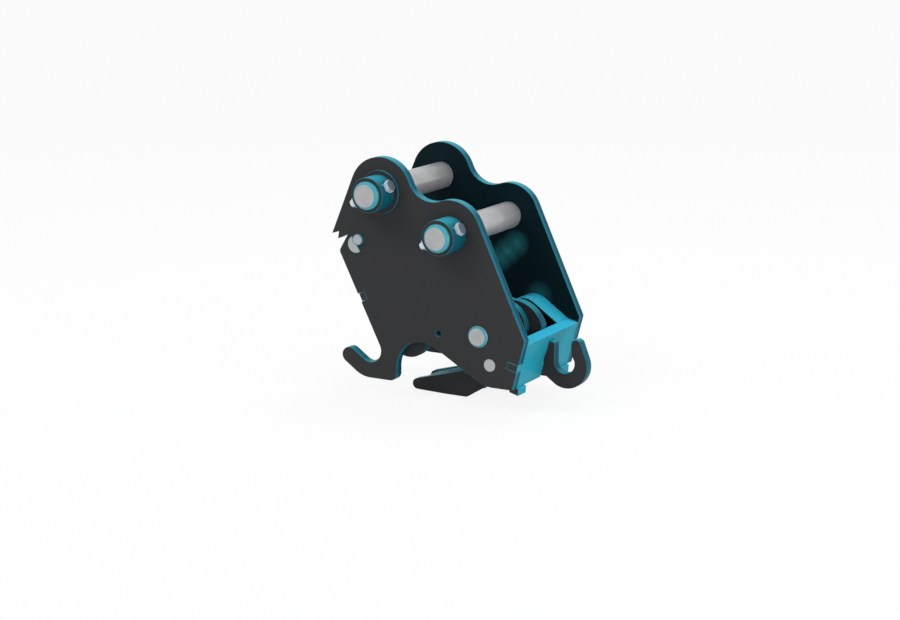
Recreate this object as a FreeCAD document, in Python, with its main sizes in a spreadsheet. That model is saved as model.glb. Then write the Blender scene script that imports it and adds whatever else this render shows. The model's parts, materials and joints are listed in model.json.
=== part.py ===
import FreeCAD, Part
import math
import os

import Sketcher

# Excavator quick coupler, in millimetres.
# The origin is the stick pin's axis on the mid plane. X points to the rear end, Y along the pins
# from the near side plate to the far one, Z up.

V = FreeCAD.Vector

SIZES = {
    # Pins of the stick and the link
    "pin_diameter": 45.0,
    "pin_centres": 140.0,
    "pin_line_drop": 24.0,
    "pin_chamfer": 4.5,
    "pin_stick_out": 8.0,
    "shaft_gap": 0.05,
    "weld_gap": 0.1,
    "tab_gap": 0.4,
    # Side plates
    "plate_thickness": 16.0,
    "inner_width": 182.0,
    "stick_hump_radius": 56.0,
    "link_hump_radius": 54.0,
    "saddle_radius": 45.0,
    "rear_edge_angle": 65.3,
    "rear_edge_length": 199.5,
    "end_edge_lean": 14.6,
    "end_edge_length": 84.0,
    "heel_from_foot_x": -13.146461,
    "heel_from_foot_z": -0.08674,
    "sole_round": 60.0,
    "beak_x": -92.0,
    "beak_z": -75.0,
    "beak_step_x": -79.0,
    "beak_step_z": -71.0,
    "tooth_x": -81.0,
    "tooth_z": -83.0,
    "notch_x": -62.0,
    "notch_z": -74.0,
    "chin_x": -78.5,
    "chin_z": -102.4,
    "chin_round": 8.0,
    # Front jaw and rear arch
    "bucket_pin_diameter": 40.0,
    "bucket_pin_gap": 1.0,
    "front_jaw_x": -22.0,
    "front_jaw_z": -262.0,
    "jaw_wrap": 125.0,
    "lip_length": 25.0,
    "lip_thickness": 26.0,
    "arch_x": 76.0,
    "arch_z": -286.0,
    "arch_radius": 48.0,
    "sole_length": 36.751574,
    "leg_round": 12.0,
    # Pin bosses on the side plates
    "boss_diameter": 57.0,
    "boss_length": 41.0,
    "pad_diameter": 71.0,
    "pad_thickness": 4.0,
    # Retaining bolts through bosses and pins
    "bolt_diameter": 12.0,
    "bolt_head_across": 18.0,
    "bolt_head_height": 7.5,
    "bolt_tail": 16.0,
    "bolt_angle": 26.0,
    "nut_height": 10.0,
    # End plate, toe blocks and front plate
    "end_plate_thickness": 19.0,
    "end_tab_start": 41.0,
    "end_tab_length": 13.0,
    "end_plate_start": 9.0,
    "end_plate_length": 75.0,
    "lift_slot_start": 20.0,
    "lift_slot_relief": 3.0,
    "toe_block_width": 27.0,
    "toe_block_depth": 13.0,
    "toe_block_taper": 0.8,
    "toe_block_stand_out": 3.5,
    "toe_block_front_height": 11.507727,
    "toe_block_back_height": 11.266871,
    "front_plate_thickness": 11.0,
    "front_plate_inset": 2.0,
    "front_plate_start": 39.0,
    "front_plate_length": 90.0,
    "front_tab_start": 77.0,
    "front_tab_length": 14.4,
    # Lifting hook plate
    "lift_thickness": 16.0,
    "lift_eye_from_corner_x": 21.679713,
    "lift_eye_from_corner_z": -52.874311,
    "lift_eye_radius": 18.0,
    "lift_outer_from_corner_x": 24.179713,
    "lift_outer_from_corner_z": -57.374311,
    "lift_outer_radius": 37.6,
    "lift_tip_from_corner_x": 41.679713,
    "lift_tip_from_corner_z": -21.374311,
    "lift_tip_radius": 8.3,
    "lift_crown_from_corner_x": -70.820287,
    "lift_crown_from_corner_z": -13.974311,
    "lift_crown_radius": 54.4,
    "lift_underside_rise": 2.41326,
    "lift_collar_radius": 31.0,
    # Inner jaw plates
    "inner_jaw_thickness": 12.0,
    "nose_radius": 38.0,
    # Front tie bar
    "tie_x": -42.0,
    "tie_z": -81.0,
    "tie_diameter": 18.0,
    "keeper_x": -46.3,
    "keeper_z": -89.1,
    "keeper_radius": 14.4,
    "keeper_thickness": 3.0,
    # Lock hook
    "pivot_from_corner_x": -82.320287,
    "pivot_from_corner_z": -1.374311,
    "pivot_diameter": 35.0,
    "pivot_chamfer": 3.5,
    "pivot_stick_out": 4.0,
    "lock_swing": 38.0,
    "lock_plate_thickness": 12.0,
    "lock_plate_offset": 24.0,
    "lock_disc_radius": 34.0,
    "near_hub_radius": 41.0,
    "far_hub_radius": 36.0,
    "lock_face_gap": 1.5,
    "lock_tube_radius": 27.0,
    "bush_radius": 22.5,
    "bush_length": 30.0,
    "rear_jaw_x": 117.0,
    "rear_jaw_z": -279.0,
    "claw_tip_x": 23.0,
    "claw_tip_z": -321.0,
    "claw_tip_round": 9.0,
    "claw_rise": 19.5,
    "claw_bottom_z": -340.0,
    "arm_length": 48.0,
    "arm_angle": 130.0,
    "arm_lobe_radius": 13.0,
    "arm_thickness": 8.5,
    # Stop bar in the curved slots of the hook plates
    "stop_from_corner_x": -61.320287,
    "stop_from_corner_z": -45.374311,
    "stop_end_diameter": 20.0,
    "stop_waist_diameter": 10.0,
    "stop_gap": 0.5,
    "slot_wall": 4.0,
    # Guard strip over the far lock tube
    "guard_offset": 51.0,
    "guard_thickness": 3.0,
    "guard_gap": 3.0,
    # Hydraulic cylinder
    "base_x": 42.0,
    "base_z": -232.0,
    "base_pin_diameter": 16.0,
    "base_eye_radius": 14.0,
    "base_eye_width": 30.0,
    "barrel_radius": 21.0,
    "bore_radius": 16.0,
    "barrel_start": 13.0,
    "barrel_end": 68.0,
    "bore_start": 17.0,
    "piston_length": 7.0,
    "gland_length": 8.0,
    "gland_radius": 19.0,
    "rod_radius": 9.0,
    "rod_eye_radius": 14.0,
    "rod_eye_width": 16.0,
    "rod_pin_diameter": 13.0,
    "rod_eye_play": 2.9,
    "cylinder_gap": 0.3,
    # Safety pin hole and ports
    "safety_x": 106.0,
    "safety_z": -220.0,
    "safety_diameter": 11.0,
    "port_radius": 8.0,
    "port_bore_radius": 4.0,
    "port_height": 9.0,
}

doc = FreeCAD.newDocument("quick_coupler")
sheet = doc.addObject("Spreadsheet::Sheet", "sizes")
for row, (alias, value) in enumerate(SIZES.items(), start=1):
    sheet.set("A%d" % row, alias)
    sheet.set("B%d" % row, str(value))
    sheet.setAlias("B%d" % row, alias)
doc.recompute()


def size(alias):
    return float(sheet.get(alias))


parts = []


# Plane geometry, with X to the right and Z up

def polar(centre, radius, angle):
    turn = math.radians(angle)
    return V(centre.x + radius * math.cos(turn), centre.y + radius * math.sin(turn), 0)


def heading(start, end):
    return math.degrees(math.atan2(end.y - start.y, end.x - start.x))


def touch(point, centre, radius, side):
    """Angle on the circle where a tangent from the point touches it, on its left (1) or right (-1)."""
    away = heading(centre, point)
    opening = math.degrees(math.acos(radius / centre.distanceToPoint(point)))
    return away + side * opening


def crossing(point, angle, other, other_angle):
    """Point where two lines, each given by a point and a direction, meet."""
    a = math.radians(angle)
    b = math.radians(other_angle)
    gap = other - point
    along = (gap.x * math.sin(b) - gap.y * math.cos(b)) / math.sin(b - a)
    return V(point.x + along * math.cos(a), point.y + along * math.sin(a), 0)


class Outline:
    """Closed chain of lines and arcs in a plane."""

    def __init__(self, start):
        self.start = start
        self.here = start
        self.edges = []

    def line(self, point):
        if self.here.distanceToPoint(point) > 1e-6:
            self.edges.append(Part.LineSegment(self.here, point))
        self.here = point
        return self

    def step(self, length, angle):
        return self.line(polar(self.here, length, angle))

    def arc(self, centre, end_angle, clockwise):
        radius = centre.distanceToPoint(self.here)
        begin = heading(centre, self.here)
        sweep = (end_angle - begin) % 360.0
        if clockwise:
            sweep -= 360.0
        middle = polar(centre, radius, begin + sweep / 2.0)
        end = polar(centre, radius, end_angle)
        self.edges.append(Part.Arc(self.here, middle, end))
        self.here = end
        return self

    def corner(self, point, after, radius):
        """Run to a corner and round it with an arc towards the next point."""
        back = heading(point, self.here)
        ahead = heading(point, after)
        half = ((ahead - back + 180.0) % 360.0 - 180.0) / 2.0
        reach = radius / abs(math.tan(math.radians(half)))
        centre = polar(point, radius / abs(math.sin(math.radians(half))), back + half)
        self.line(polar(point, reach, back))
        return self.arc(centre, heading(centre, polar(point, reach, ahead)), half > 0)

    def close(self):
        return self.line(self.start).edges


# Document objects

def finish(item, label):
    item.Label = label
    parts.append(item)
    return item


def plane_of(body, role):
    for item in body.Origin.OriginFeatures:
        if item.Role == role:
            return item
    raise RuntimeError("no plane " + role)


def new_body(label, role, edges, holes=()):
    """Body with one sketch, which holds an outline and round holes bound to the sheet."""
    body = doc.addObject("PartDesign::Body", label + "_body")
    sketch = body.newObject("Sketcher::SketchObject", label + "_sketch")
    sketch.AttachmentSupport = (plane_of(body, role), [""])
    sketch.MapMode = "FlatFace"
    sketch.addGeometry(list(edges), False)
    for centre, radius in holes:
        index = sketch.addGeometry(Part.Circle(centre, V(0, 0, 1), 1.0), False)
        sketch.addConstraint(Sketcher.Constraint("Block", index))
        sketch.delConstraint(sketch.ConstraintCount - 1)
        place = sketch.addConstraint(Sketcher.Constraint("Radius", index, 1.0))
        sketch.addConstraint(Sketcher.Constraint("DistanceX", -1, 1, index, 3, centre.x))
        sketch.addConstraint(Sketcher.Constraint("DistanceY", -1, 1, index, 3, centre.y))
        sketch.setExpression("Constraints[%d]" % place, radius)
    return body, sketch


def plate(label, edges, thickness, far_face, holes=()):
    """Flat plate parallel to the side plates, which ends at far_face and is thick towards -Y."""
    body, sketch = new_body(label, "XZ_Plane", edges, holes)
    pad = body.newObject("PartDesign::Pad", label + "_pad")
    pad.Profile = sketch
    pad.setExpression("Length", thickness)
    body.setExpression("Placement.Base.y", far_face)
    return finish(body, label)


def turned(label, profile, centre):
    """Piece turned about a Y axis through a centre. The profile lists radius and Y pairs."""
    points = [V(radius, along, 0) for radius, along in profile]
    outline = Outline(points[0])
    for point in points[1:]:
        outline.line(point)
    body, sketch = new_body(label, "XY_Plane", outline.close())
    turn = body.newObject("PartDesign::Revolution", label + "_turn")
    turn.Profile = sketch
    turn.ReferenceAxis = (sketch, ["V_Axis"])
    turn.Angle = 360
    body.Placement.Base = V(centre.x, 0, centre.y)
    return finish(body, label)


def group(label, solids):
    """Node of several solids, made from the sheet's sizes."""
    item = doc.addObject("Part::Feature", label + "_group")
    item.Shape = solids[0] if len(solids) == 1 else Part.makeCompound(solids)
    return finish(item, label)


def mirrored(shape):
    return shape.mirror(V(0, 0, 0), V(0, 1, 0))


def disc(x, z, radius, low, high):
    return Part.makeCylinder(radius, high - low, V(x, low, z), V(0, 1, 0))


def slab(edges, low, high):
    """Solid between two Y values over an outline in X and Z."""
    wire = Part.Wire([edge.toShape() for edge in edges])
    face = Part.Face(wire)
    face.rotate(V(0, 0, 0), V(1, 0, 0), 90)
    face.translate(V(0, low, 0))
    return face.extrude(V(0, high - low, 0))


# Shared places

half_inner = size("inner_width") / 2.0
half_outer = half_inner + size("plate_thickness")
stick = V(0, 0, 0)
link = polar(stick, size("pin_centres"), -size("pin_line_drop"))
front_jaw = V(size("front_jaw_x"), size("front_jaw_z"), 0)
rear_jaw = V(size("rear_jaw_x"), size("rear_jaw_z"), 0)
arch = V(size("arch_x"), size("arch_z"), 0)
tie = V(size("tie_x"), size("tie_z"), 0)
base = V(size("base_x"), size("base_z"), 0)
safety = V(size("safety_x"), size("safety_z"), 0)
seat_radius = size("bucket_pin_diameter") / 2.0 + size("bucket_pin_gap")

near_inner = "-sizes.inner_width / 2"
far_outer = "sizes.inner_width / 2 + sizes.plate_thickness"
pin_hole = "sizes.pin_diameter / 2 + sizes.shaft_gap"
pivot_hole = "sizes.pivot_diameter / 2 + sizes.shaft_gap"

# The rear corner of the side plate and the directions of the two edges that meet there
rear_fall = -size("rear_edge_angle")
rear_touch = 90.0 + rear_fall
rear_corner = polar(polar(link, size("link_hump_radius"), rear_touch), size("rear_edge_length"), rear_fall)
end_fall = -90.0 - size("end_edge_lean")
end_inward = end_fall - 90.0


def on_end(along, depth):
    """Point on the end edge, at a depth towards the front."""
    return polar(polar(rear_corner, along, end_fall), depth, end_inward)



def from_corner(name):
    """Place given by its distances from the rear corner."""
    return rear_corner + V(size(name + "_from_corner_x"), size(name + "_from_corner_z"), 0)


pivot = from_corner("pivot")
stop = from_corner("stop")
rod_end = polar(pivot, size("arm_length"), size("arm_angle"))

# The underside edge runs from the chin and meets the front jaw's seat as a tangent
chin = V(size("chin_x"), size("chin_z"), 0)
belly_touch = touch(chin, front_jaw, seat_radius, -1)
belly_fall = belly_touch - 90.0
belly_inward = belly_touch


def on_belly(along, depth):
    """Point on the underside edge, at a depth into the plate."""
    return polar(polar(chin, along, belly_fall), depth, belly_inward)



def notched(outline, start, angle, inward, begin, length, depth):
    """Run along an edge with a rectangular notch in it for a tab. A negative length runs back."""
    outline.line(polar(start, begin, angle))
    outline.step(depth, inward)
    outline.step(length, angle)
    return outline.step(depth, inward + 180.0)


def saddle_centre():
    """Centre of the concave arc between the two humps."""
    to_stick = size("stick_hump_radius") + size("saddle_radius")
    to_link = size("link_hump_radius") + size("saddle_radius")
    apart = size("pin_centres")
    along = (to_stick ** 2 - to_link ** 2 + apart ** 2) / (2.0 * apart)
    opening = math.degrees(math.acos(along / to_stick))
    return polar(stick, to_stick, heading(stick, link) + opening)


def jaw_lip(outline):
    """Front jaw: round the lip from below, then the pin seat up to the underside edge."""
    lip_angle = -size("jaw_wrap")
    lip_heading = lip_angle - 90.0
    outline.arc(front_jaw, lip_angle, True)
    outline.step(size("lip_length"), lip_heading)
    tip_centre = polar(outline.here, size("lip_thickness") / 2.0, lip_angle + 180.0)
    outline.arc(tip_centre, lip_angle + 180.0, True)
    outline.line(polar(front_jaw, seat_radius, lip_angle))
    return outline.arc(front_jaw, belly_touch, False)


def side_outline():
    beak = V(size("beak_x"), size("beak_z"), 0)
    notch = V(size("notch_x"), size("notch_z"), 0)
    saddle = saddle_centre()
    hump_start = touch(beak, stick, size("stick_hump_radius"), -1)
    outline = Outline(beak)
    outline.line(polar(stick, size("stick_hump_radius"), hump_start))
    outline.arc(stick, heading(stick, saddle), True)
    outline.arc(saddle, heading(saddle, link), False)
    outline.arc(link, rear_touch, True)
    outline.line(rear_corner)
    # end edge with the notch of the end plate's tab, then the heel
    notched(outline, rear_corner, end_fall, end_inward, size("end_tab_start"),
            size("end_tab_length"), size("end_plate_thickness") + size("tab_gap"))
    end_foot = on_end(size("end_edge_length"), 0)
    outline.line(end_foot)
    heel = end_foot + V(size("heel_from_foot_x"), size("heel_from_foot_z"), 0)
    outline.line(heel)
    sole = heel - V(size("sole_length"), 0, 0)
    slope_top = polar(arch, size("arch_radius"), touch(sole, arch, size("arch_radius"), 1))
    outline.corner(sole, slope_top, size("sole_round"))
    outline.line(slope_top)
    outline.arc(arch, 180.0, False)
    # leg between the arch and the front jaw
    floor_z = front_jaw.y - seat_radius - size("lip_thickness")
    leg_foot = V(arch.x - size("arch_radius"), floor_z, 0)
    lip_floor = V(front_jaw.x, floor_z, 0)
    outline.corner(leg_foot, lip_floor, size("leg_round"))
    outline.line(lip_floor)
    jaw_lip(outline)
    notched(outline, chin, belly_fall, belly_inward,
            size("front_tab_start") + size("front_tab_length"), -size("front_tab_length"),
            size("front_plate_inset") + size("front_plate_thickness") + size("tab_gap"))
    outline.corner(chin, notch, size("chin_round"))
    outline.line(notch)
    outline.line(V(size("tooth_x"), size("tooth_z"), 0))
    outline.line(V(size("beak_step_x"), size("beak_step_z"), 0))
    return outline.close()


side_holes = [
    (stick, pin_hole),
    (link, pin_hole),
    (pivot, pivot_hole),
    (stop, "sizes.stop_end_diameter / 2 + sizes.shaft_gap"),
    (tie, "sizes.tie_diameter / 2 + sizes.shaft_gap"),
    (safety, "sizes.safety_diameter / 2"),
]
plate("side_plate_near", side_outline(), "sizes.plate_thickness", near_inner, side_holes)
plate("side_plate_far", side_outline(), "sizes.plate_thickness", far_outer, side_holes)


# Pin bosses, with a crosswise hole for the retaining bolt

def across(centre, radius, reach, y):
    """Rod across a pin along the bolt direction."""
    turn = math.radians(size("bolt_angle"))
    along = V(math.cos(turn), 0, math.sin(turn))
    return Part.makeCylinder(radius, 2.0 * reach, V(centre.x, y, centre.y) - along * reach, along)


bolt_y = half_outer + size("boss_length") / 2.0
boss_reach = size("boss_diameter")


def boss(label, centre, side):
    low = half_outer + (size("pad_thickness") if centre == stick else 0.0)
    high = half_outer + size("boss_length")
    bore = size("pin_diameter") / 2.0 + size("shaft_gap")
    shape = disc(centre.x, centre.y, size("boss_diameter") / 2.0, low, high)
    shape = shape.cut(disc(centre.x, centre.y, bore, low, high))
    shape = shape.cut(across(centre, size("bolt_diameter") / 2.0 + size("weld_gap"), boss_reach, bolt_y))
    group(label, [shape if side > 0 else mirrored(shape)])


for side_name, side in (("near", -1), ("far", 1)):
    boss("stick_boss_" + side_name, stick, side)
    boss("link_boss_" + side_name, link, side)

pad_ring = disc(stick.x, stick.y, size("pad_diameter") / 2.0, half_outer, half_outer + size("pad_thickness"))
pad_ring = pad_ring.cut(disc(stick.x, stick.y, size("pin_diameter") / 2.0 + size("shaft_gap"),
                             half_outer, half_outer + size("pad_thickness")))
group("stick_boss_pads", [mirrored(pad_ring), pad_ring])


# Stick and link pins: round bars with large end chamfers and a cross hole at each end

def long_pin(label, centre):
    radius = size("pin_diameter") / 2.0
    end = half_outer + size("boss_length") + size("pin_stick_out")
    shape = disc(centre.x, centre.y, radius, -end, end)
    rims = [edge for edge in shape.Edges if edge.Curve.TypeId == "Part::GeomCircle"]
    shape = shape.makeChamfer(size("pin_chamfer"), rims)
    cross = across(centre, size("bolt_diameter") / 2.0 + size("weld_gap"), radius + 1.0, bolt_y)
    group(label, [shape.cut(cross).cut(mirrored(cross))])


long_pin("stick_pin", stick)
long_pin("link_pin", link)


# Retaining bolts and their nuts

def hexagon(across_flats, height, foot, direction):
    radius = across_flats / math.sqrt(3.0)
    points = [V(radius * math.cos(math.radians(60 * k)), radius * math.sin(math.radians(60 * k)), 0)
              for k in range(7)]
    prism = Part.Face(Part.makePolygon(points)).extrude(V(0, 0, height))
    prism.Placement = FreeCAD.Placement(foot, FreeCAD.Rotation(V(0, 0, 1), direction))
    return prism


def bolt_and_nut(centre, y):
    turn = math.radians(size("bolt_angle"))
    along = V(math.cos(turn), 0, math.sin(turn))
    middle = V(centre.x, y, centre.y)
    flat = size("boss_diameter") / 2.0 + 0.1
    radius = size("bolt_diameter") / 2.0
    shank = Part.makeCylinder(radius, 2 * flat + size("bolt_tail"), middle + along * flat, along * -1)
    bolt = shank.fuse(hexagon(size("bolt_head_across"), size("bolt_head_height"), middle + along * flat, along))
    nut = hexagon(size("bolt_head_across"), size("nut_height"), middle - along * flat, along * -1)
    nut = nut.cut(Part.makeCylinder(radius + size("weld_gap"), size("nut_height"), middle - along * flat,
                                    along * -1))
    return bolt, nut


pairs = [bolt_and_nut(centre, y) for centre in (stick, link) for y in (-bolt_y, bolt_y)]
group("pin_retaining_bolts", [pair[0] for pair in pairs])
group("pin_retaining_nuts", [pair[1] for pair in pairs])


# End plate between the side plates, slotted for the lifting hook, with a tab through each side

def end_section(begin, length):
    outline = Outline(on_end(begin, 0))
    outline.step(length, end_fall)
    outline.step(size("end_plate_thickness"), end_inward)
    outline.step(length, end_fall + 180.0)
    return outline.close()


plate_foot = size("end_plate_start") + size("end_plate_length")
end_plate = slab(end_section(size("end_plate_start"), size("end_plate_length")), -half_inner, half_inner)
end_tabs = slab(end_section(size("end_tab_start") + size("tab_gap"),
                            size("end_tab_length") - 2 * size("tab_gap")), -half_outer, half_outer)
lift_half = size("lift_thickness") / 2.0
slot_half = lift_half + size("weld_gap")
slot_cutter = slab(end_section(size("lift_slot_start"), plate_foot), -slot_half, slot_half)
relief_half = slot_half + size("lift_slot_relief")
relief_cutter = slab(end_section(size("end_tab_start") + 2.5, size("end_tab_length") + 2.0),
                     -relief_half, relief_half)
group("end_plate", [end_plate.fuse(end_tabs).cut(slot_cutter).cut(relief_cutter).removeSplitter()])

toe_top = plate_foot + size("weld_gap")
toe_back = on_end(toe_top, size("toe_block_depth"))
toe = Outline(on_end(toe_top, -size("toe_block_stand_out")))
toe.line(toe.start - V(size("toe_block_taper"), size("toe_block_front_height"), 0))
toe.line(toe_back - V(size("toe_block_taper"), size("toe_block_back_height"), 0))
toe.line(toe_back)
toe_block = slab(toe.close(), half_inner - size("toe_block_width"), half_inner)
group("toe_blocks", [mirrored(toe_block), toe_block])


# Front plate along the underside edge, with a tab through each side plate

def front_section(begin, length):
    outline = Outline(on_belly(begin, size("front_plate_inset")))
    outline.step(length, belly_fall)
    outline.step(size("front_plate_thickness"), belly_inward)
    outline.step(length, belly_fall + 180.0)
    return outline.close()


front_plate = slab(front_section(size("front_plate_start"), size("front_plate_length")), -half_inner, half_inner)
front_tabs = slab(front_section(size("front_tab_start") + size("tab_gap"),
                                size("front_tab_length") - 2 * size("tab_gap")), -half_outer, half_outer)
group("front_plate", [front_plate.fuse(front_tabs).removeSplitter()])


# Lifting hook: one plate on the mid plane, through the end plate's slot

def lift_outline():
    crown = from_corner("lift_crown")
    eye = from_corner("lift_eye")
    outer = from_corner("lift_outer")
    tip = from_corner("lift_tip")
    crown_radius = size("lift_crown_radius")
    eye_radius = size("lift_eye_radius")
    tip_radius = size("lift_tip_radius")
    back = size("end_plate_thickness") + 0.3
    neck_at = size("lift_slot_start") + size("weld_gap")
    outline = Outline(V(crown.x, crown.y + crown_radius, 0))
    # crown, down the end plate's back, then out through its slot
    outward = end_inward + 180.0
    reach = (on_end(0, back) - crown).dot(polar(V(0, 0, 0), 1.0, outward))
    outline.arc(crown, outward + math.degrees(math.acos(reach / crown_radius)), True)
    outline.line(on_end(neck_at, back))
    throat_x = eye.x - eye_radius
    outline.line(crossing(on_end(neck_at, 0), outward, V(throat_x, eye.y, 0), 90.0))
    # throat, rounded tip and outer edge of the hook
    outline.line(V(throat_x, eye.y, 0))
    outline.arc(eye, 15.0, False)
    outline.line(V(eye.x + 12.3, eye.y + 14.5, 0))
    outline.line(polar(tip, tip_radius, 185.0))
    tip_leave = 21.2
    outline.arc(tip, tip_leave, True)
    outline.line(polar(outer, size("lift_outer_radius"), tip_leave))
    outline.arc(outer, -120.0, True)
    # underside back to the collar on the pivot pin
    foot = on_end(plate_foot, 0) + V(0, size("lift_underside_rise"), 0)
    outline.line(foot + V(10.6, 0, 0))
    outline.line(foot - V(1.4, 0, 0))
    low_touch = polar(crown, crown_radius, -80.0)
    outline.line(low_touch)
    outline.line(V(pivot.x, low_touch.y + 12.0, 0))
    collar = size("lift_collar_radius")
    outline.line(polar(pivot, collar, -110.0))
    outline.arc(pivot, math.degrees(math.acos((crown.x - pivot.x) / collar)), True)
    return outline.close()


plate("lifting_hook", lift_outline(), "sizes.lift_thickness", "sizes.lift_thickness / 2",
      [(pivot, pivot_hole), (stop, "sizes.stop_waist_diameter / 2 + sizes.shaft_gap")])


# Inner jaw plates: they line the front jaw and carry the cylinder's base pin

def inner_jaw_outline():
    nose = size("nose_radius")
    floor_z = front_jaw.y - seat_radius - size("lip_thickness") + 6.0
    front_top = on_belly(size("front_plate_start") + size("front_plate_length") + 2.0, 0)
    outline = Outline(polar(front_jaw, seat_radius, belly_touch))
    outline.line(front_top)
    outline.line(polar(base, nose, touch(front_top, base, nose, -1)))
    outline.arc(base, -140.0, True)
    outline.line(V(outline.here.x, floor_z, 0))
    outline.line(V(front_jaw.x, floor_z, 0))
    outline.line(V(front_jaw.x, front_jaw.y - seat_radius, 0))
    outline.arc(front_jaw, belly_touch, False)
    return outline.edges


base_hole = "sizes.base_pin_diameter / 2 + sizes.shaft_gap"
plate("inner_jaw_near", inner_jaw_outline(), "sizes.inner_jaw_thickness",
      near_inner + " + sizes.inner_jaw_thickness", [(base, base_hole)])
plate("inner_jaw_far", inner_jaw_outline(), "sizes.inner_jaw_thickness", "sizes.inner_width / 2",
      [(base, base_hole)])


# Front tie bar with its keepers, discs with a straight cut beside the bar

def bar(label, radius, half_length, chamfer, centre):
    turned(label, [
        (0, -half_length),
        (radius - chamfer, -half_length),
        (radius, -half_length + chamfer),
        (radius, half_length - chamfer),
        (radius - chamfer, half_length),
        (0, half_length),
    ], centre)


bar("front_tie_bar", size("tie_diameter") / 2.0, half_outer + 4.0, 1.2, tie)

keeper = disc(size("keeper_x"), size("keeper_z"), size("keeper_radius"), half_outer,
              half_outer + size("keeper_thickness"))
keeper = keeper.cut(disc(tie.x, tie.y, size("tie_diameter") / 2.0 + size("weld_gap"), half_outer,
                         half_outer + size("keeper_thickness")))
keeper_cut = Part.makeBox(60, 20, 60, V(0, half_outer - 5, -30))
keeper_cut.rotate(V(0, 0, 0), V(0, 1, 0), -32)
keeper_cut.translate(V(size("keeper_x") + 2.5, 0, size("keeper_z") - 1.5))
keeper = keeper.cut(keeper_cut)
group("tie_bar_keepers", [mirrored(keeper), keeper])


# Pivot pin and bushes of the lock hook

bar("pivot_pin", size("pivot_diameter") / 2.0, half_outer + size("pivot_stick_out"),
    size("pivot_chamfer"), pivot)

pivot_bore = size("pivot_diameter") / 2.0 + size("shaft_gap")
tube_end = half_inner - size("lock_face_gap")
plate_low = size("lock_plate_offset")
plate_high = plate_low + size("lock_plate_thickness")
disc_low = lift_half + size("lock_face_gap")


def both_sides(shape):
    return [mirrored(shape), shape]


def tube(centre, outer, inner, low, high):
    return disc(centre.x, centre.y, outer, low, high).cut(disc(centre.x, centre.y, inner, low, high))


bush_inner_end = tube_end - size("bush_length")
lock_tube = tube(pivot, size("lock_tube_radius"), pivot_bore, disc_low, tube_end)
lock_tube = lock_tube.cut(disc(pivot.x, pivot.y, size("bush_radius"), bush_inner_end, tube_end))
group("lock_tubes", both_sides(lock_tube))
group("lock_bushes", both_sides(tube(pivot, size("bush_radius"), pivot_bore, bush_inner_end, tube_end)))
group("lock_sleeve", [mirrored(tube(pivot, size("near_hub_radius"), size("lock_tube_radius"),
                                    plate_high, tube_end))])

# Arms of the hook, which carry the rod pin between the hook plates, and the discs beside them
rod_pin_radius = size("rod_pin_diameter") / 2.0
arm_high = disc_low + size("arm_thickness")
clip_radius = rod_pin_radius + 3.0


def arm(hub):
    lobe = size("arm_lobe_radius")
    apart = size("arm_length")
    spread = math.degrees(math.acos((hub - lobe) / apart))
    outline = Outline(polar(pivot, hub, size("arm_angle") - spread))
    outline.arc(pivot, size("arm_angle") + spread, True)
    outline.line(polar(rod_end, lobe, size("arm_angle") + spread))
    outline.arc(rod_end, size("arm_angle") - spread, True)
    shape = slab(outline.close(), disc_low, arm_high)
    shape = shape.cut(disc(pivot.x, pivot.y, size("lock_tube_radius"), disc_low, arm_high))
    return shape.cut(disc(rod_end.x, rod_end.y, rod_pin_radius + size("shaft_gap"), disc_low, arm_high))


def hub_disc(hub):
    shape = tube(pivot, hub, size("lock_tube_radius"), arm_high, plate_low)
    return shape.cut(disc(rod_end.x, rod_end.y, clip_radius + 1.5, arm_high, plate_low))


group("lock_arms", [mirrored(arm(size("near_hub_radius"))), arm(size("far_hub_radius"))])
group("lock_discs", [mirrored(hub_disc(size("near_hub_radius"))), hub_disc(size("far_hub_radius"))])

# Stop bar: thick ends in the side plates, a thinner waist through the hook plates' slots
stop_end = size("stop_end_diameter") / 2.0
stop_waist = size("stop_waist_diameter") / 2.0
turned("stop_bar", [
    (0, -half_outer),
    (stop_end, -half_outer),
    (stop_end, -half_inner),
    (stop_waist, -half_inner),
    (stop_waist, half_inner),
    (stop_end, half_inner),
    (stop_end, half_outer),
    (0, half_outer),
], stop)


# Lock hook: two plates with a claw block between them, which swing about the pivot

stop_distance = pivot.distanceToPoint(stop)
stop_angle = heading(pivot, stop)
slot_outer = stop_distance + stop_waist + size("stop_gap")
slot_inner = stop_distance - stop_waist - size("stop_gap")
rim = slot_outer + size("slot_wall")
end_play = math.degrees(size("stop_gap") / stop_distance)
slot_end_gap = math.degrees((stop_waist + size("stop_gap")) / stop_distance)


def claw_top():
    """Where the claw's upper edge meets the pin seat."""
    return polar(rear_jaw, seat_radius, -115.0)


def claw_nose(outline):
    tip = V(size("claw_tip_x"), size("claw_tip_z"), 0)
    tip_round = size("claw_tip_round")
    top_heading = size("claw_rise")
    centre = polar(tip, tip_round, top_heading - 90.0)
    foot = V(tip.x + 55.0, size("claw_bottom_z"), 0)
    outline.line(polar(centre, tip_round, touch(foot, centre, tip_round, -1)))
    return outline.arc(centre, top_heading + 90.0, True)


def lock_outline():
    rim_start = stop_angle + slot_end_gap + 7.0
    rim_end = stop_angle - size("lock_swing") - 4.0
    outline = Outline(polar(pivot, size("lock_disc_radius"), 60.0))
    outline.arc(pivot, rim_start, True)
    outline.line(polar(pivot, rim, rim_start))
    outline.arc(pivot, rim_end, True)
    outline.line(V(rear_jaw.x + 36.0, size("claw_bottom_z") + 21.0, 0))
    outline.line(V(rear_jaw.x + 2.0, size("claw_bottom_z"), 0))
    outline.line(V(size("claw_tip_x") + 55.0, size("claw_bottom_z"), 0))
    claw_nose(outline)
    outline.line(claw_top())
    outline.arc(rear_jaw, 10.0, False)
    outline.line(polar(pivot, size("lock_disc_radius"), 165.0))
    return outline.arc(pivot, 60.0, True).edges


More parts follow.
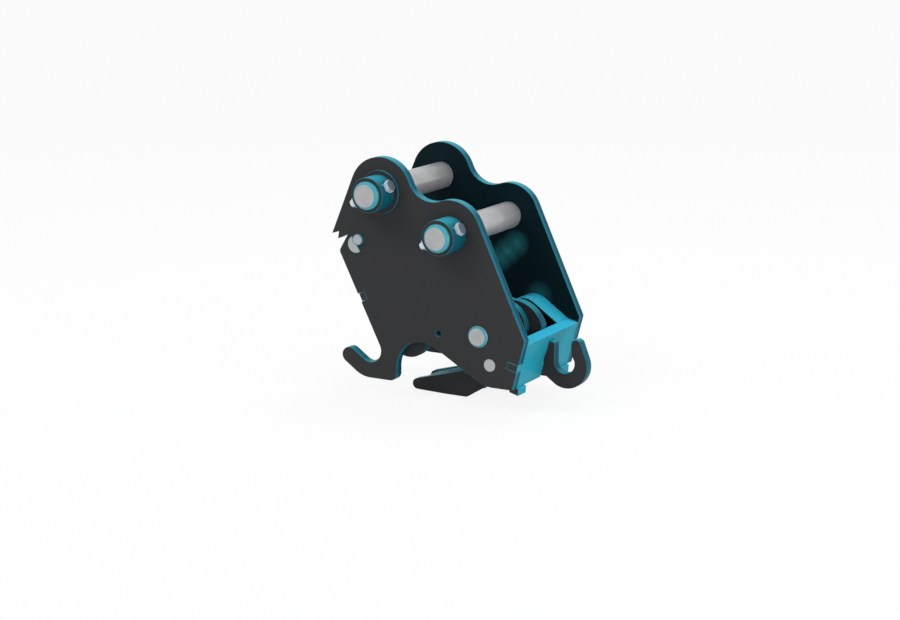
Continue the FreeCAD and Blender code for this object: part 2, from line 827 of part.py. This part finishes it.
def stop_slot(low, high):
    """Curved slot about the pivot that the stop bar runs in."""
    first = stop_angle + end_play
    last = stop_angle - size("lock_swing") - end_play
    outline = Outline(polar(pivot, slot_outer, first))
    outline.arc(pivot, last, True)
    outline.arc(polar(pivot, stop_distance, last), last + 180.0, True)
    outline.arc(pivot, first, False)
    outline.arc(polar(pivot, stop_distance, first), first, True)
    return slab(outline.edges, low, high)


lock_plate = slab(lock_outline(), plate_low, plate_high)
lock_plate = lock_plate.cut(stop_slot(plate_low, plate_high))
lock_plate = lock_plate.cut(disc(pivot.x, pivot.y, size("lock_tube_radius"), plate_low, plate_high))
group("lock_plate_near", [mirrored(lock_plate)])
group("lock_plate_far", [lock_plate])


def claw_outline():
    block_end = polar(rear_jaw, seat_radius, -25.0)
    right = V(rear_jaw.x + 33.0, size("claw_bottom_z") + 24.0, 0)
    outline = Outline(claw_top())
    outline.arc(rear_jaw, -25.0, False)
    outline.line(V(block_end.x + 13.0, block_end.y - 3.0, 0))
    outline.line(right)
    outline.line(V(rear_jaw.x + 1.0, size("claw_bottom_z") + 2.0, 0))
    outline.line(V(size("claw_tip_x") + 55.0, size("claw_bottom_z") + 2.0, 0))
    outline.line(V(size("claw_tip_x") + 16.0, size("claw_tip_z") - 10.0, 0))
    outline.line(V(size("claw_tip_x") + 10.0, size("claw_tip_z") + 1.0, 0))
    return outline.close()


group("lock_claw_block", [slab(claw_outline(), -plate_low, plate_low)])

pin_end = arm_high + 4.0
group("rod_pin", [disc(rod_end.x, rod_end.y, rod_pin_radius, -pin_end, pin_end)])
clip_ring = tube(rod_end, clip_radius, rod_pin_radius, arm_high, arm_high + 2.0)
group("rod_pin_clips", both_sides(clip_ring))

# Guard strip: it wraps the far lock tube and runs straight to the back of the end plate's top

guard_inner = size("lock_tube_radius") + size("guard_gap")
guard_outer = guard_inner + size("guard_thickness")
end_top = on_end(size("end_plate_start"), size("end_plate_thickness"))


def guard_outline():
    leave = touch(end_top, pivot, guard_outer, 1)
    wrap_end = 150.0
    away = heading(polar(pivot, guard_outer, leave), end_top)
    outline = Outline(polar(pivot, guard_outer, wrap_end))
    outline.arc(pivot, leave, True)
    outline.line(end_top)
    outline.line(crossing(polar(pivot, guard_inner, leave), away, end_top, end_fall))
    outline.line(polar(pivot, guard_inner, leave))
    outline.arc(pivot, wrap_end, False)
    return outline.close()


group("guard_strip", [slab(guard_outline(), size("guard_offset"), half_inner)])


# Hydraulic cylinder between the inner jaw plates and the hook's arm

reach = base.distanceToPoint(rod_end)
lean = heading(base, rod_end)
gap = size("cylinder_gap")


def along_cylinder(shape):
    """Lay a piece made along +X from the base pin onto the cylinder's line."""
    shape.rotate(V(0, 0, 0), V(0, 1, 0), -lean)
    shape.translate(V(base.x, 0, base.y))
    return shape


def rod_length(start, end, radius):
    return Part.makeCylinder(radius, end - start, V(start, 0, 0), V(1, 0, 0))


def eye(at_x, radius, hole, width):
    ring_shape = disc(at_x, 0, radius, -width / 2.0, width / 2.0)
    return ring_shape, disc(at_x, 0, hole, -width, width)


base_ring, base_bore = eye(0, size("base_eye_radius"), size("base_pin_diameter") / 2.0 + size("shaft_gap"),
                           size("base_eye_width"))
bore = rod_length(size("bore_start"), size("barrel_end") + 1.0, size("bore_radius"))
gland_at = size("barrel_end") - size("gland_length")
port_places = (size("bore_start") + size("port_bore_radius") + 2.0, gland_at - size("port_bore_radius") - 0.3)


def upright(at_x, radius, low, high):
    """Rod that stands on the barrel's axis line."""
    return Part.makeCylinder(radius, high - low, V(at_x, 0, low))


barrel = base_ring.fuse(rod_length(size("barrel_start"), size("barrel_end"), size("barrel_radius")))
port_top = size("barrel_radius") + size("port_height")
for place in port_places:
    barrel = barrel.fuse(upright(place, size("port_radius"), size("bore_radius") - 4.0, port_top))
barrel = barrel.cut(base_bore).cut(bore)
for place in port_places:
    barrel = barrel.cut(upright(place, size("port_bore_radius"), size("bore_radius") - 5.0, port_top + 1.0))
group("cylinder_barrel", [along_cylinder(barrel)])

gland = rod_length(gland_at, size("barrel_end"), size("bore_radius"))
gland = gland.fuse(rod_length(size("barrel_end"), size("barrel_end") + 5.0, size("gland_radius")))
gland = gland.cut(rod_length(0, reach, size("rod_radius") + size("shaft_gap")))
group("cylinder_gland", [along_cylinder(gland.removeSplitter())])

piston_end = gland_at - 2.0 * size("port_bore_radius") - 0.4
piston_at = piston_end - size("piston_length")
piston = rod_length(piston_at, piston_end, size("bore_radius") - size("shaft_gap"))
piston = piston.cut(rod_length(0, reach, size("rod_radius")))
ring_at = (piston_at + piston_end) / 2.0
seal_groove = rod_length(ring_at - 2.0, ring_at + 2.0, size("bore_radius")).cut(
    rod_length(0, reach, size("bore_radius") - 3.0))
group("piston", [along_cylinder(piston.cut(seal_groove))])
seal = rod_length(ring_at - 2.0, ring_at + 2.0, size("bore_radius") - size("shaft_gap"))
group("piston_seal", [along_cylinder(seal.cut(rod_length(0, reach, size("bore_radius") - 3.0)))])

rod_ring, rod_bore = eye(reach, size("rod_eye_radius"), rod_pin_radius + size("rod_eye_play"),
                         size("rod_eye_width"))
rod = rod_length(piston_at, reach, size("rod_radius")).fuse(rod_ring).cut(rod_bore)
group("piston_rod", [along_cylinder(rod.removeSplitter())])

base_pin_end = half_inner
turned("cylinder_base_pin", [
    (0, -base_pin_end),
    (size("base_pin_diameter") / 2.0, -base_pin_end),
    (size("base_pin_diameter") / 2.0, base_pin_end),
    (0, base_pin_end),
], base)
base_spacer = tube(base, size("base_pin_diameter") / 2.0 + 5.0, size("base_pin_diameter") / 2.0 + size("shaft_gap"),
                   size("base_eye_width") / 2.0 + gap, half_inner - size("inner_jaw_thickness"))
group("base_pin_spacers", both_sides(base_spacer))

doc.recompute()

os.makedirs("parts", exist_ok=True)
for item in doc.Objects:
    if "Invalid" in item.State or "Error" in item.State:
        raise RuntimeError("failed: " + item.Label)
for item in parts:
    shape = item.Shape
    if shape.isNull() or not shape.isValid():
        raise RuntimeError("bad shape: " + item.Label)
for item in parts:
    item.Shape.exportStep("parts/" + item.Label + ".step")
    print(item.Label, len(item.Shape.Solids), round(item.Shape.Volume / 1000.0, 2))
print(len(parts), "nodes")
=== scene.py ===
import json
import math

import bpy
from mathutils import Matrix, Vector


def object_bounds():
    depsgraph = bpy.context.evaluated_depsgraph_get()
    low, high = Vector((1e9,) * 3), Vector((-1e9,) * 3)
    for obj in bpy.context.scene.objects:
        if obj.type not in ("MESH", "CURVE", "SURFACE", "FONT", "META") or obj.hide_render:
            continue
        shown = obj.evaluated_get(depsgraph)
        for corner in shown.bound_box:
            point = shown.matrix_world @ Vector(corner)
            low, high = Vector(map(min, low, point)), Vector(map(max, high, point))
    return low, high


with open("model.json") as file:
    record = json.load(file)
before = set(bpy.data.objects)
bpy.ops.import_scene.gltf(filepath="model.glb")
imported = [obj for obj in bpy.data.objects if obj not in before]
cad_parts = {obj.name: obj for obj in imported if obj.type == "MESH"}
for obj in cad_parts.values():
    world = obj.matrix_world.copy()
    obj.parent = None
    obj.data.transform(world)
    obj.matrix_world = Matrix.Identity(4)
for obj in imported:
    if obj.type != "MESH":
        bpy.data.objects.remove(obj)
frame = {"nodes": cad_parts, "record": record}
cad_low, cad_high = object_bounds()
nodes = frame["nodes"]

MM = 0.001

# The side plates: outer face from the mid plane and thickness
PLATE_OUTER = 107 * MM
PLATE_THICKNESS = 16 * MM
PLATE_PITCH = 2 * PLATE_OUTER - PLATE_THICKNESS
PLATE_INNER = PLATE_OUTER - PLATE_THICKNESS

# Where the pins leave the plates and their paint starts, from the mid plane
PIN_PAINT_FROM = 107.5 * MM
STOP_PAINT_FROM = 104.5 * MM

# Direction of the bolts through the bosses, about the pins
BOLT_ANGLE = math.radians(26.0)

# Paint, as linear colours
TEAL = (0.018, 0.285, 0.375)
# Painted highlight: a lighter teal for faces that look upwards, as if lit from above
TEAL_LIT_TOP = (0.040, 0.50, 0.72)
# Painted shade: a darker copy of the same teal, for the side plates, bosses and other bodies
SHADED_TEAL = (0.006, 0.095, 0.140)
# Painted highlight on that darker copy, for its faces that look upwards
SHADED_TEAL_LIT_TOP = (0.030, 0.30, 0.38)
DARK = (0.039, 0.039, 0.039)
# Painted shade: the very dark teal of the side plates' inner faces, shaded between the plates
INNER_SHADE = (0.0042, 0.0140, 0.0175)
# Painted reflection: a teal sheen in spots on the far plate's inner face
INNER_PAINTED_SHEEN = (0.030, 0.220, 0.250)
# Painted highlight: a light cyan line along the sharp edges
RIM_HIGHLIGHT = (0.10, 0.56, 0.64)
PIN_TEAL = (0.03, 0.30, 0.36)

# Metals and rubber
PIN_SILVER = (0.43, 0.43, 0.435)
STOP_SILVER = (0.45, 0.45, 0.455)
CLIP_STEEL = (0.50, 0.53, 0.55)
BOLT_SILVER = (0.62, 0.70, 0.73)
# Painted shade: the darker slate of the bolts' end faces
BOLT_END_SHADE = (0.13, 0.17, 0.20)
BRONZE = (0.55, 0.36, 0.16)
CHROME = (0.78, 0.79, 0.80)
RUBBER = (0.02, 0.02, 0.02)

# Painted reflection on the far plate's inner face: a streak of three spots under the link pin
# and a weaker one behind the guard strip
SHEEN_STREAK_SPOTS = ((112, -131), (127, -117.5), (142, -104))
STRIP_SHEEN_SPOT = (186, -186)
SHEEN_SPOT_RADIUS = 26 * MM
STRIP_SHEEN_STRENGTH = 0.6


# Shader nodes

def new_material(name):
    material = bpy.data.materials.new(name)
    material.use_nodes = True
    tree = material.node_tree
    tree.nodes.clear()
    output = add(tree, "ShaderNodeOutputMaterial")
    shader = add(tree, "ShaderNodeBsdfPrincipled")
    tree.links.new(shader.outputs["BSDF"], output.inputs["Surface"])
    return material, tree, shader


def add(tree, kind, **settings):
    node = tree.nodes.new(kind)
    for key, value in settings.items():
        setattr(node, key, value)
    return node


def math_node(tree, operation, first, second=None, clamp=False):
    node = add(tree, "ShaderNodeMath", operation=operation, use_clamp=clamp)
    for index, value in enumerate((first, second)):
        if value is None:
            continue
        if isinstance(value, (int, float)):
            node.inputs[index].default_value = value
        else:
            tree.links.new(value, node.inputs[index])
    return node.outputs[0]


def ramp(tree, source, low, high, from_value=0.0, to_value=1.0):
    node = add(tree, "ShaderNodeMapRange")
    tree.links.new(source, node.inputs["Value"])
    node.inputs["From Min"].default_value = low
    node.inputs["From Max"].default_value = high
    node.inputs["To Min"].default_value = from_value
    node.inputs["To Max"].default_value = to_value
    return node.outputs["Result"]


def mix_colour(tree, factor, first, second):
    node = add(tree, "ShaderNodeMix", data_type="RGBA")
    sockets = [s for s in node.inputs if s.enabled]
    for socket, value in zip(sockets, (factor, first, second)):
        if isinstance(value, tuple):
            socket.default_value = (*value, 1.0)
        else:
            tree.links.new(value, socket)
    return [s for s in node.outputs if s.enabled][0]


def scaled(colour, share):
    return tuple(share * channel for channel in colour)


def noise(tree, scale, detail=3.0):
    place = add(tree, "ShaderNodeTexCoord")
    node = add(tree, "ShaderNodeTexNoise")
    tree.links.new(place.outputs["Object"], node.inputs["Vector"])
    node.inputs["Scale"].default_value = scale
    node.inputs["Detail"].default_value = detail
    node.inputs["Roughness"].default_value = 0.55
    return node.outputs["Fac"]


def parts_of(tree, output):
    """X, Y and Z of the piece's own coordinates or normals."""
    place = add(tree, "ShaderNodeTexCoord")
    parts = add(tree, "ShaderNodeSeparateXYZ")
    tree.links.new(place.outputs[output], parts.inputs["Vector"])
    return parts.outputs


def facing_sideways(tree):
    """How far the surface faces along the pins, 0 to 1."""
    return math_node(tree, "ABSOLUTE", parts_of(tree, "Normal")["Y"])


def edge_mask(tree, radius):
    """1 on sharp edges and 0 on flat faces, from the rounded normal."""
    bevel = add(tree, "ShaderNodeBevel", samples=4)
    bevel.inputs["Radius"].default_value = radius
    plain = add(tree, "ShaderNodeNewGeometry")
    dot = add(tree, "ShaderNodeVectorMath", operation="DOT_PRODUCT")
    tree.links.new(bevel.outputs["Normal"], dot.inputs[0])
    tree.links.new(plain.outputs["Normal"], dot.inputs[1])
    return ramp(tree, dot.outputs["Value"], 0.998, 0.9)


def inner_face_sheen_spot(tree, place_xz):
    """1 at a place on the far plate's inner face, given in mm, fading to 0 around it: the mask
    of a painted reflection.
    """
    place = add(tree, "ShaderNodeTexCoord")
    away = add(tree, "ShaderNodeVectorMath", operation="DISTANCE")
    tree.links.new(place.outputs["Object"], away.inputs[0])
    away.inputs[1].default_value = (place_xz[0] * MM, PLATE_INNER, place_xz[1] * MM)
    return ramp(tree, away.outputs["Value"], SHEEN_SPOT_RADIUS, 0.0)


def finish_surface(tree, shader, roughness_low, roughness_high, bump_scale, bump_depth):
    grain = noise(tree, 35.0)
    roughness = ramp(tree, grain, 0.3, 0.7, roughness_low, roughness_high)
    tree.links.new(roughness, shader.inputs["Roughness"])
    bump = add(tree, "ShaderNodeBump")
    bump.inputs["Strength"].default_value = 1.0
    bump.inputs["Distance"].default_value = bump_depth
    tree.links.new(noise(tree, bump_scale, 4.0), bump.inputs["Height"])
    tree.links.new(bump.outputs["Normal"], shader.inputs["Normal"])


# Materials

def cut_edge_light_and_shade(tree, across, colour):
    """Paler on the near half of each side plate's thickness than on its far half: painted
    highlight on the near half and painted shade on the far half.
    """
    pitches = math_node(tree, "ADD", across, PLATE_OUTER)
    pitches = math_node(tree, "MULTIPLY", pitches, 1 / PLATE_PITCH)
    depth = math_node(tree, "FRACT", pitches)
    depth = math_node(tree, "MULTIPLY", depth, PLATE_PITCH / PLATE_THICKNESS)
    shaded_far_half = ramp(tree, depth, 0.35, 0.55)
    return mix_colour(tree, shaded_far_half, scaled(colour, 1.35), scaled(colour, 0.7))


def plate_face_paint_and_light(tree, across):
    """Dark outside, and between the plates a very dark teal, painted shade, with spots of
    painted reflection.
    """
    distance = math_node(tree, "ABSOLUTE", across)
    # Painted shade on the inner faces between the plates
    shade_between_plates = ramp(tree, distance, PLATE_INNER + 1.5 * MM, PLATE_INNER + 0.5 * MM)
    # Painted reflection: spots of teal sheen on the far plate's inner face, broken up by noise
    painted_sheen = inner_face_sheen_spot(tree, STRIP_SHEEN_SPOT)
    painted_sheen = math_node(tree, "MULTIPLY", painted_sheen, STRIP_SHEEN_STRENGTH)
    for spot in SHEEN_STREAK_SPOTS:
        painted_sheen = math_node(tree, "MAXIMUM", painted_sheen, inner_face_sheen_spot(tree, spot))
    speckle = ramp(tree, noise(tree, 260.0), 0.3, 0.7, 0.6, 1.0)
    painted_sheen = math_node(tree, "MULTIPLY", painted_sheen, speckle)
    return mix_colour(tree, shade_between_plates, DARK, mix_colour(tree, painted_sheen, INNER_SHADE, INNER_PAINTED_SHEEN))


def two_tone_paint_and_light(name, colour, top, plates=False):
    """Dark on faces across the pins and coloured on all others, with painted highlight on faces
    that look up and along the edges.
    """
    material, tree, shader = new_material(name)
    if plates:
        across = parts_of(tree, "Object")["Y"]
        side = cut_edge_light_and_shade(tree, across, colour)
        face = plate_face_paint_and_light(tree, across)
        rim_highlight_strength = 0.5
    else:
        cloud = ramp(tree, noise(tree, 14.0), 0.35, 0.7)
        side = mix_colour(tree, cloud, colour, scaled(colour, 0.8))
        face = DARK
        rim_highlight_strength = 0.7
    # Painted highlight: faces that look upwards take the top colour, a lit copy of the teal
    lit_upward = ramp(tree, parts_of(tree, "Normal")["Z"], 0.6, 1.0)
    side = mix_colour(tree, lit_upward, side, top)
    flat = ramp(tree, facing_sideways(tree), 0.86, 0.96)
    base = mix_colour(tree, flat, side, face)
    # Painted highlight: a light cyan line along the sharp edges, weaker on the faces across the
    # pins
    rim_highlight = math_node(tree, "MULTIPLY", edge_mask(tree, 1.0 * MM), rim_highlight_strength)
    rim_highlight = math_node(tree, "MULTIPLY", rim_highlight, ramp(tree, flat, 0.0, 1.0, 1.0, 0.25))
    tree.links.new(mix_colour(tree, rim_highlight, base, RIM_HIGHLIGHT), shader.inputs["Base Color"])
    shader.inputs["Specular IOR Level"].default_value = 0.03
    finish_surface(tree, shader, 0.28, 0.4, 420.0, 0.03 * MM)
    return material


def worn(tree, colour, share):
    """A colour that darkens to a share of itself in soft patches."""
    patches = ramp(tree, noise(tree, 60.0), 0.35, 0.65)
    return mix_colour(tree, patches, colour, scaled(colour, share))


def plain_finish(name, colour, roughness, metallic=1.0):
    material, tree, shader = new_material(name)
    tree.links.new(worn(tree, colour, 0.86), shader.inputs["Base Color"])
    shader.inputs["Metallic"].default_value = metallic
    finish_surface(tree, shader, roughness - 0.05, roughness + 0.07, 600.0, 0.01 * MM)
    return material


def bolt_metal_and_shade(name):
    """Bright steel with darker end faces across the bolts' direction: painted shade on the end
    faces.
    """
    material, tree, shader = new_material(name)
    place = add(tree, "ShaderNodeTexCoord")
    along = add(tree, "ShaderNodeVectorMath", operation="DOT_PRODUCT")
    tree.links.new(place.outputs["Normal"], along.inputs[0])
    along.inputs[1].default_value = (math.cos(BOLT_ANGLE), 0.0, math.sin(BOLT_ANGLE))
    # Painted shade on the end faces of the bolts
    end = ramp(tree, math_node(tree, "ABSOLUTE", along.outputs["Value"]), 0.92, 0.98)
    tree.links.new(mix_colour(tree, end, BOLT_SILVER, BOLT_END_SHADE), shader.inputs["Base Color"])
    shader.inputs["Metallic"].default_value = 0.3
    finish_surface(tree, shader, 0.22, 0.32, 600.0, 0.01 * MM)
    return material


def pin_finish(name, silver, paint_from):
    """Bare steel ends and shaft, with paint on the chamfers and sides outside the plates."""
    material, tree, shader = new_material(name)
    distance = math_node(tree, "ABSOLUTE", parts_of(tree, "Object")["Y"])
    outside = ramp(tree, distance, paint_from, paint_from + 0.5 * MM)
    side = ramp(tree, facing_sideways(tree), 0.97, 0.9)
    painted = math_node(tree, "MULTIPLY", outside, side)
    base = mix_colour(tree, painted, worn(tree, silver, 0.88), PIN_TEAL)
    tree.links.new(base, shader.inputs["Base Color"])
    tree.links.new(ramp(tree, painted, 0.0, 1.0, 0.5, 0.0), shader.inputs["Metallic"])
    finish_surface(tree, shader, 0.34, 0.46, 600.0, 0.01 * MM)
    return material


# The side plates and other bodies take the darker copy of the teal, painted shade; the end
# plate, guard strip and toe blocks take the teal as lit
body_paint_and_light = two_tone_paint_and_light("two_tone_paint_and_light", SHADED_TEAL, SHADED_TEAL_LIT_TOP)
plate_paint_and_light = two_tone_paint_and_light("plate_paint_and_light", SHADED_TEAL, SHADED_TEAL_LIT_TOP, plates=True)
lit_teal_paint = two_tone_paint_and_light("lit_teal_paint", TEAL, TEAL_LIT_TOP)
pin_steel = pin_finish("pin_steel", PIN_SILVER, PIN_PAINT_FROM)
stop_steel = pin_finish("stop_steel", STOP_SILVER, STOP_PAINT_FROM)
bolts = bolt_metal_and_shade("bolt_metal_and_shade")

slot_material = {
    "painted_plate": plate_paint_and_light,
    "painted_body": body_paint_and_light,
    "pin_steel": pin_steel,
    "bolt_steel": plain_finish("bolt_steel", CLIP_STEEL, 0.30, 0.4),
    "bronze": plain_finish("bush_bronze", BRONZE, 0.35),
    "seal": plain_finish("seal_rubber", RUBBER, 0.6, 0.0),
    "rod_chrome": plain_finish("rod_chrome", CHROME, 0.12),
}

# Pieces that don't take the material of their slot
node_material = {
    "end_plate": lit_teal_paint,
    "guard_strip": lit_teal_paint,
    "toe_blocks": lit_teal_paint,
    "tie_bar_keepers": pin_steel,
    "pin_retaining_bolts": bolts,
    "pin_retaining_nuts": bolts,
    "stop_bar": stop_steel,
}

# Rounding of the edges, in mm
DEFAULT_BEVEL = 0.6
bevel_width = {
    "side_plate_near": 1.8,
    "side_plate_far": 1.8,
    "end_plate": 0.9,
    "lifting_hook": 1.2,
    "guard_strip": 0.8,
    "tie_bar_keepers": 1.3,
    "front_tie_bar": 0.4,
    "stop_bar": 1.8,
}

for part in frame["record"]["subparts"]:
    name = part["node"]
    piece = nodes[name]
    piece.data.materials.clear()
    piece.data.materials.append(node_material.get(name, slot_material[part["material_slot"]]))
    weld = piece.modifiers.new("join", "WELD")
    weld.merge_threshold = 0.005 * MM
    bevel = piece.modifiers.new("soften", "BEVEL")
    bevel.width = bevel_width.get(name, DEFAULT_BEVEL) * MM
    bevel.segments = 2
    bevel.limit_method = "ANGLE"
    bevel.angle_limit = math.radians(40)
    bevel.harden_normals = False
    split = piece.modifiers.new("crease", "EDGE_SPLIT")
    split.split_angle = math.radians(35)


# Floor and world

def seen_directly(tree):
    """1 for rays that show a surface or its mirror image, 0 for those that light it."""
    path = add(tree, "ShaderNodeLightPath")
    mirrored = math_node(tree, "ADD", path.outputs["Is Glossy Ray"],
                         path.outputs["Is Transmission Ray"])
    return math_node(tree, "ADD", path.outputs["Is Camera Ray"], mirrored, clamp=True)


FLOOR_SIZE = 60.0
FLOOR_GAP = 0.5 * MM
FLOOR_GLOW = 0.88  # the rest of the floor is lit, and keeps the object's shadow

floor_material, tree, shader = new_material("floor_white")
shader.inputs["Base Color"].default_value = (0.85, 0.85, 0.85, 1.0)
shader.inputs["Roughness"].default_value = 0.9
glow = add(tree, "ShaderNodeEmission")
glow.inputs["Strength"].default_value = 1.0
seen = add(tree, "ShaderNodeMixShader")
tree.links.new(math_node(tree, "MULTIPLY", seen_directly(tree), FLOOR_GLOW), seen.inputs["Fac"])
tree.links.new(shader.outputs["BSDF"], seen.inputs[1])
tree.links.new(glow.outputs["Emission"], seen.inputs[2])
tree.links.new(seen.outputs["Shader"], tree.nodes["Material Output"].inputs["Surface"])

bpy.ops.mesh.primitive_plane_add(size=FLOOR_SIZE, location=(0, 0, cad_low.z - FLOOR_GAP))
floor = bpy.context.object
floor.name = "floor"
floor.data.materials.append(floor_material)

world = bpy.data.worlds.new("studio")
bpy.context.scene.world = world
world.use_nodes = True
tree = world.node_tree
tree.nodes.clear()
output = add(tree, "ShaderNodeOutputWorld")
mixed = add(tree, "ShaderNodeMixShader")
tree.links.new(seen_directly(tree), mixed.inputs["Fac"])
# the light that falls on the object, and the white that is seen
for socket, colour, strength in ((1, (0.93, 0.96, 1.0, 1), 0.75), (2, (1, 1, 1, 1), 1.0)):
    background = add(tree, "ShaderNodeBackground")
    background.inputs["Color"].default_value = colour
    background.inputs["Strength"].default_value = strength
    tree.links.new(background.outputs[0], mixed.inputs[socket])
tree.links.new(mixed.outputs[0], output.inputs["Surface"])


# Lamps: name, place, diameter and power

centre = (cad_low + cad_high) / 2

for name, place, diameter, power in (
    ("key", (-1.2, -2.0, 2.2), 1.4, 26.0),
    ("side", (2.4, -0.4, 0.2), 1.2, 20.0),
    ("top", (0.4, 0.8, 2.4), 1.0, 16.0),
):
    light = bpy.data.lights.new(name, "AREA")
    light.shape = "DISK"
    light.size = diameter
    light.energy = power
    lamp = bpy.data.objects.new(name, light)
    bpy.context.collection.objects.link(lamp)
    lamp.location = place
    lamp.rotation_mode = "QUATERNION"
    lamp.rotation_quaternion = (centre - Vector(place)).to_track_quat("-Z", "Y")


# Camera, fitted to the round pin ends and plate edges of the photograph

camera_place = Vector((1.6392, -2.8049, 0.5253))
right = Vector((0.8724, 0.4888, 0.0)).normalized()
forward = Vector((-0.4766, 0.8506, -0.2221)).normalized()
up = right.cross(forward).normalized()
turn = Matrix((right, up, -forward)).transposed()

camera_data = bpy.data.cameras.new("camera")
camera_data.sensor_width = 36.0
camera_data.lens = 80.0
camera_data.clip_start = 0.05
camera_data.clip_end = 100.0
camera = bpy.data.objects.new("camera", camera_data)
bpy.context.collection.objects.link(camera)
camera.matrix_world = Matrix.Translation(camera_place) @ turn.to_4x4()
bpy.context.scene.camera = camera
bpy.context.scene.view_settings.view_transform = "Standard"
